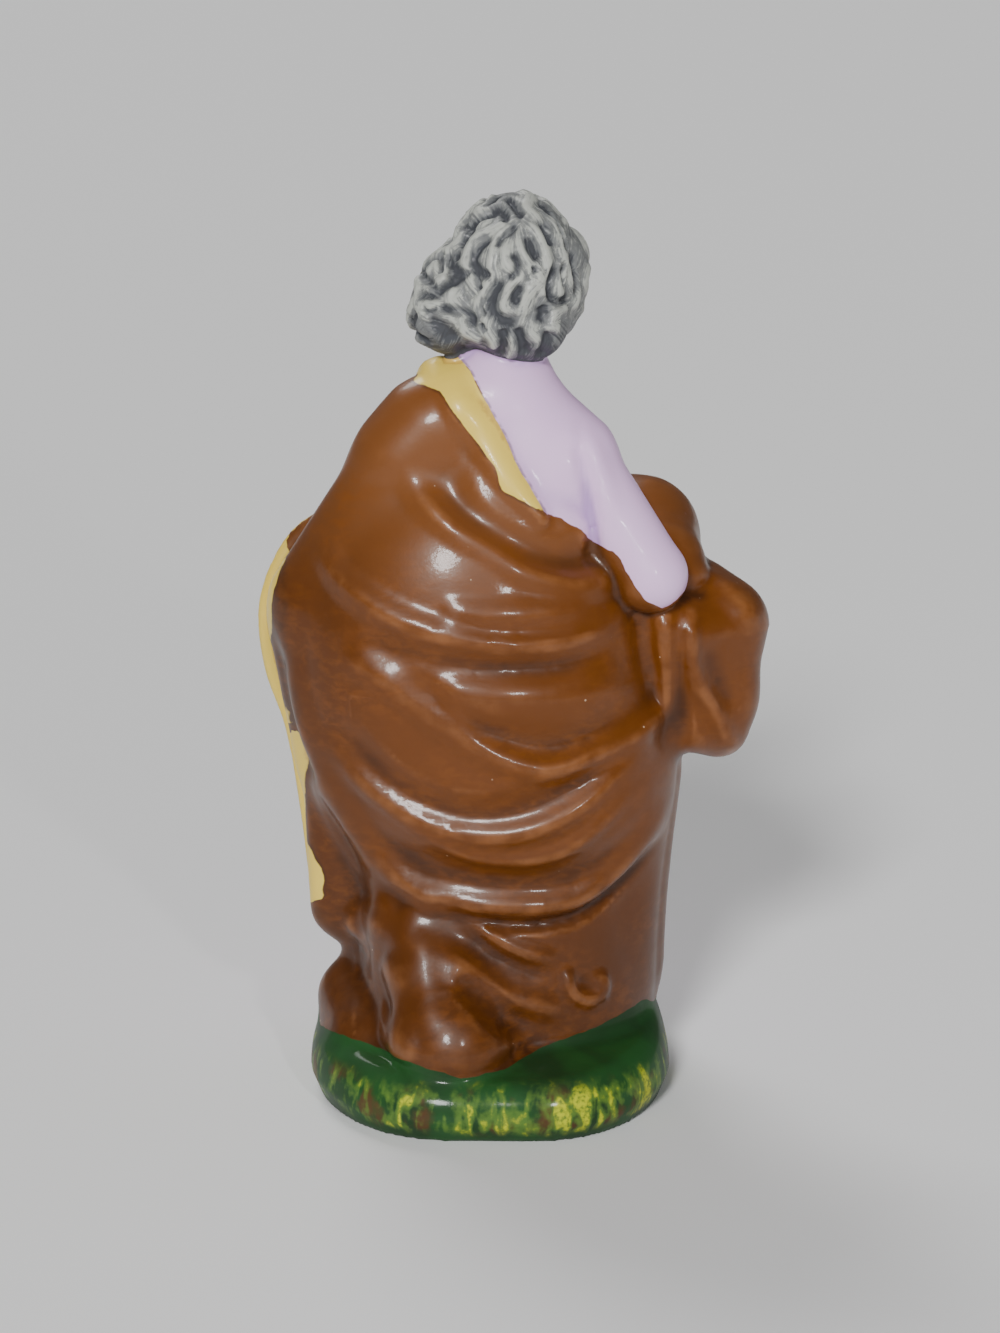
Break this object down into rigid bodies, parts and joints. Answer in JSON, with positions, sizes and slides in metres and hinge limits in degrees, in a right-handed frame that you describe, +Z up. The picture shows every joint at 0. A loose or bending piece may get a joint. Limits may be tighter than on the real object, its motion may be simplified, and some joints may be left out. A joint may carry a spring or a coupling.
{
  "type": "nativity joseph figurine",
  "caption": "Kneeling bearded man in a long tunic and draped cloak, hands joined, cast in one with a low grass mound; a painted glossy ceramic nativity figure that stands by its own weight.",
  "frame": {"origin": "middle of the grass mound's flat underside", "axes": "+Z up through the figure; the figure faces -Y, and +X is the figure's left"},
  "size_m": [0.1129, 0.0942, 0.2003],
  "materials": {
    "painted_ceramic": "hand-painted, clear gloss; brown cloak with cream edges, lilac tunic, grey hair, green mound"
  },
  "bodies": {
    "root": {"kneeling_figurine": "painted_ceramic"}
  },
  "joints": []
}
